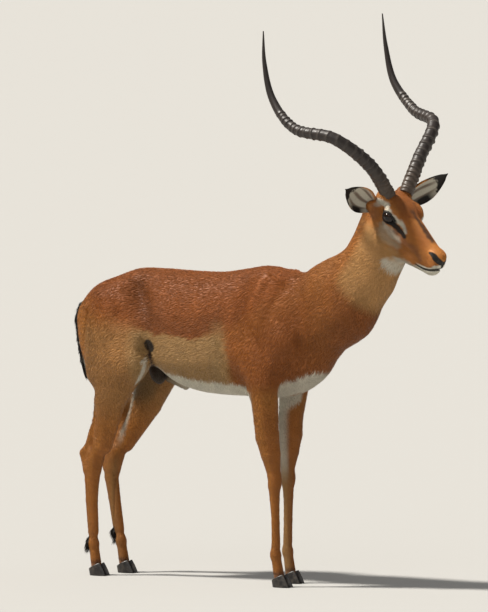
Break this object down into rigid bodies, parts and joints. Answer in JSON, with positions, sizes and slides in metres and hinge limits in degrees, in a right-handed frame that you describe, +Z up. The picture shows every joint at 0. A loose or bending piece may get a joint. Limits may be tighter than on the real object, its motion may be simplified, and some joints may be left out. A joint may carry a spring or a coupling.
{
  "type": "impala antelope",
  "caption": "Life-size still model of an adult impala ram standing four-square with long lyre-shaped ridged horns, its head turned a little to its right",
  "frame": {"origin": "on the ground under the middle of the model's box", "axes": "+X is the animal's front, +Y its left and +Z up"},
  "size_m": [1.3332, 0.4594, 1.6015],
  "materials": {
    "saddle": "short glossy red-brown coat",
    "tan": "short smooth tan coat",
    "ear": "short tan hair, pale inside",
    "horn": "ridged dark keratin with dusty ridges",
    "hoof": "dark keratin, satin",
    "eye": "wet, very dark brown",
    "tail": "dark stripe of hair with pale edges"
  },
  "bodies": {
    "root": {"ear_left": "ear", "ear_right": "ear", "eye_left": "eye", "eye_right": "eye", "foreleg_left_lower": "tan", "foreleg_left_upper": "tan", "foreleg_right_lower": "tan", "foreleg_right_upper": "tan", "head": "tan", "hindleg_left_lower": "tan", "hindleg_left_upper": "tan", "hindleg_right_lower": "tan", "hindleg_right_upper": "tan", "hoof_foreleg_left_inner": "hoof", "hoof_foreleg_left_outer": "hoof", "hoof_foreleg_right_inner": "hoof", "hoof_foreleg_right_outer": "hoof", "hoof_hindleg_left_inner": "hoof", "hoof_hindleg_left_outer": "hoof", "hoof_hindleg_right_inner": "hoof", "hoof_hindleg_right_outer": "hoof", "horn_left": "horn", "horn_right": "horn", "neck": "tan", "tail": "tail", "trunk": "saddle"}
  },
  "joints": []
}
